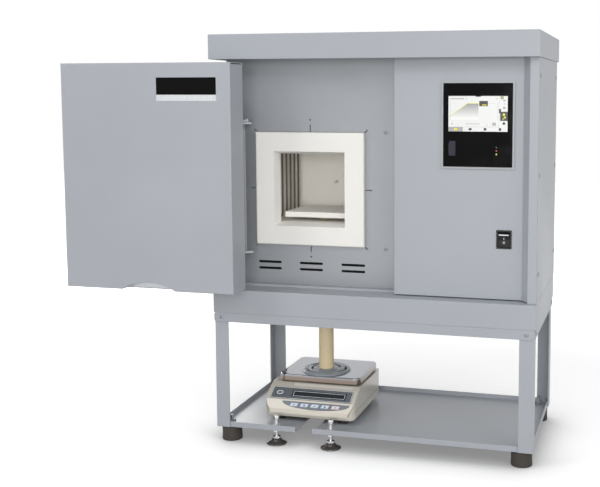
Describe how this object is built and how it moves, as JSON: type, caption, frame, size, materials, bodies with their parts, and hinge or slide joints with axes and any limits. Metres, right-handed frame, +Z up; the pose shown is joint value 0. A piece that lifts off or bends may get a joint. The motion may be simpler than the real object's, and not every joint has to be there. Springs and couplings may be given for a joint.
{
  "type": "high-temperature weighing furnace",
  "caption": "Bench furnace on a low stand, with a parallel-swing door and a balance on the shelf that carries the sample plate in the chamber on a ceramic tube.",
  "frame": {"origin": "on the floor, in the middle of the four feet of the stand", "axes": "+X to the right seen from the front, +Y to the rear, +Z up; the mouth of the chamber faces -Y"},
  "size_m": [0.9372, 0.447, 0.828],
  "materials": {
    "stand_paint": "satin grey",
    "body_paint": "fine-grained blue-grey",
    "plate_steel": "satin",
    "inner_steel": "plain sheet",
    "insulation": "matt fibre board",
    "collar_white": "matt, moulded",
    "element_grey": "matt",
    "strap_metal": "braided and flat",
    "sheath_ceramic": "glazed",
    "foot_rubber": "matt",
    "bright_steel": "bright plated",
    "pad_black": "glossy black",
    "frame_grey": "light grey",
    "glass_black": "glossy black front",
    "case_grey": "dark grey",
    "switch_black": "black",
    "core_iron": "lacquered laminations",
    "fin_aluminium": "anodised",
    "arm_steel": "satin",
    "gland_black": "black",
    "shell_cream": "cream, glossy",
    "base_black": "black",
    "panel_slate": "slate grey film",
    "display_dark": "dark display",
    "key_light": "light grey",
    "pan_steel": "polished",
    "disc_grey": "grey",
    "tube_ceramic": "beige, dense"
  },
  "bodies": {
    "furnace": {"stand_legs": "stand_paint", "stand_rails": "body_paint", "shelf_tray": "stand_paint", "rubber_feet": "foot_rubber", "leveller_nuts": "bright_steel", "plinth": "body_paint", "base_panel": "body_paint", "front_plate": "plate_steel", "left_side_panel": "body_paint", "right_side_panel": "body_paint", "control_panel": "body_paint", "divider": "inner_steel", "rear_panel": "body_paint", "cable_gland": "gland_black", "exhaust_outlet": "plate_steel", "top_cover": "body_paint", "chamber_collar": "collar_white", "insulation_base": "insulation", "insulation_sides": "insulation", "insulation_rear": "insulation", "insulation_roof": "insulation", "heating_elements": "element_grey", "element_holders": "sheath_ceramic", "element_straps": "strap_metal", "thermocouple": "sheath_ceramic", "controller_frame": "frame_grey", "controller_glass": "glass_black", "controller_case": "case_grey", "switch_housing": "switch_black", "transformer": "core_iron", "power_unit": "fin_aluminium", "hinge_bracket": "arm_steel", "balance_base": "base_black", "balance_housing": "shell_cream", "balance_panel": "panel_slate", "balance_display": "display_dark", "load_cell": "fin_aluminium"},
    "swing_arm": {"swing_arm": "arm_steel"},
    "door": {"door_skin": "body_paint", "door_inner_panel": "inner_steel", "door_plug": "collar_white", "door_brackets": "arm_steel"},
    "guide_link": {"guide_link": "arm_steel"},
    "usb_flap": {"usb_flap": "case_grey"},
    "switch_rocker": {"switch_rocker": "switch_black"},
    "pan": {"weighing_pan": "pan_steel", "adapter_disc": "disc_grey", "ceramic_tube": "tube_ceramic", "sample_plate": "collar_white"},
    "left_pad": {"leveller_pad_left": "pad_black"},
    "left_stud": {"leveller_stud_left": "bright_steel"},
    "right_pad": {"leveller_pad_right": "pad_black"},
    "right_stud": {"leveller_stud_right": "bright_steel"},
    "key_1": {"key_1": "key_light"},
    "key_2": {"key_2": "key_light"},
    "key_3": {"key_3": "key_light"},
    "key_4": {"key_4": "key_light"},
    "key_5": {"key_5": "key_light"}
  },
  "joints": [
    {"name": "arm_swing", "type": "hinge", "parent": "furnace", "child": "swing_arm", "pos_m": [-0.2974, -0.114, 0.519], "axis": [0, 0, 1], "range_deg": [0, 146.5]},
    {"name": "door_parallel", "type": "hinge", "parent": "swing_arm", "child": "door", "pos_m": [-0.4289, -0.20104, 0.519], "axis": [0, 0, 1], "range_deg": [-146.5, 0]},
    {"name": "guide_swing", "type": "hinge", "parent": "furnace", "child": "guide_link", "pos_m": [-0.2725, -0.10651, 0.656], "axis": [0, 0, 1], "range_deg": [0, 146.5]},
    {"name": "usb_flap_open", "type": "hinge", "parent": "furnace", "child": "usb_flap", "pos_m": [0.1536, -0.1385, 0.608], "axis": [0, 0, -1], "range_deg": [0, 90]},
    {"name": "switch_rock", "type": "hinge", "parent": "furnace", "child": "switch_rocker", "pos_m": [0.2601, -0.1307, 0.4355], "axis": [1, 0, 0], "range_deg": [-24, 0]},
    {"name": "pan_load", "type": "slide", "parent": "furnace", "child": "pan", "axis": [0, 0, -1], "range_m": [0, 0.0005], "stiffness_N_per_m": 40000, "springref_m": -0.0004},
    {"name": "key_1_press", "type": "slide", "parent": "furnace", "child": "key_1", "axis": [0, 0.8729, -0.4878], "range_m": [0, 0.0008], "stiffness_N_per_m": 600, "springref_m": -0.0003},
    {"name": "key_2_press", "type": "slide", "parent": "furnace", "child": "key_2", "axis": [0, 0.8729, -0.4878], "range_m": [0, 0.0008], "stiffness_N_per_m": 600, "springref_m": -0.0003},
    {"name": "key_3_press", "type": "slide", "parent": "furnace", "child": "key_3", "axis": [0, 0.8729, -0.4878], "range_m": [0, 0.0008], "stiffness_N_per_m": 600, "springref_m": -0.0003},
    {"name": "key_4_press", "type": "slide", "parent": "furnace", "child": "key_4", "axis": [0, 0.8729, -0.4878], "range_m": [0, 0.0008], "stiffness_N_per_m": 600, "springref_m": -0.0003},
    {"name": "key_5_press", "type": "slide", "parent": "furnace", "child": "key_5", "axis": [0, 0.8729, -0.4878], "range_m": [0, 0.0008], "stiffness_N_per_m": 600, "springref_m": -0.0003},
    {"name": "level_left_lift", "type": "slide", "parent": "furnace", "child": "left_pad", "axis": [0, 0, 1], "range_m": [0, 0.007]},
    {"name": "level_left_turn", "type": "hinge", "parent": "left_pad", "child": "left_stud", "pos_m": [-0.2, -0.146, 0.03], "axis": [0, 0, 1], "range_deg": [0, 2016]},
    {"name": "level_right_lift", "type": "slide", "parent": "furnace", "child": "right_pad", "axis": [0, 0, 1], "range_m": [0, 0.007]},
    {"name": "level_right_turn", "type": "hinge", "parent": "right_pad", "child": "right_stud", "pos_m": [-0.084, -0.146, 0.03], "axis": [0, 0, 1], "range_deg": [0, 2016]}
  ],
  "couplings": [
    {"joint": "door_parallel", "follows": "arm_swing", "ratio": -1},
    {"joint": "guide_swing", "follows": "arm_swing", "ratio": 1},
    {"joint": "level_left_turn", "follows": "level_left_lift", "rad_per_m": 5026.5},
    {"joint": "level_right_turn", "follows": "level_right_lift", "rad_per_m": 5026.5}
  ]
}
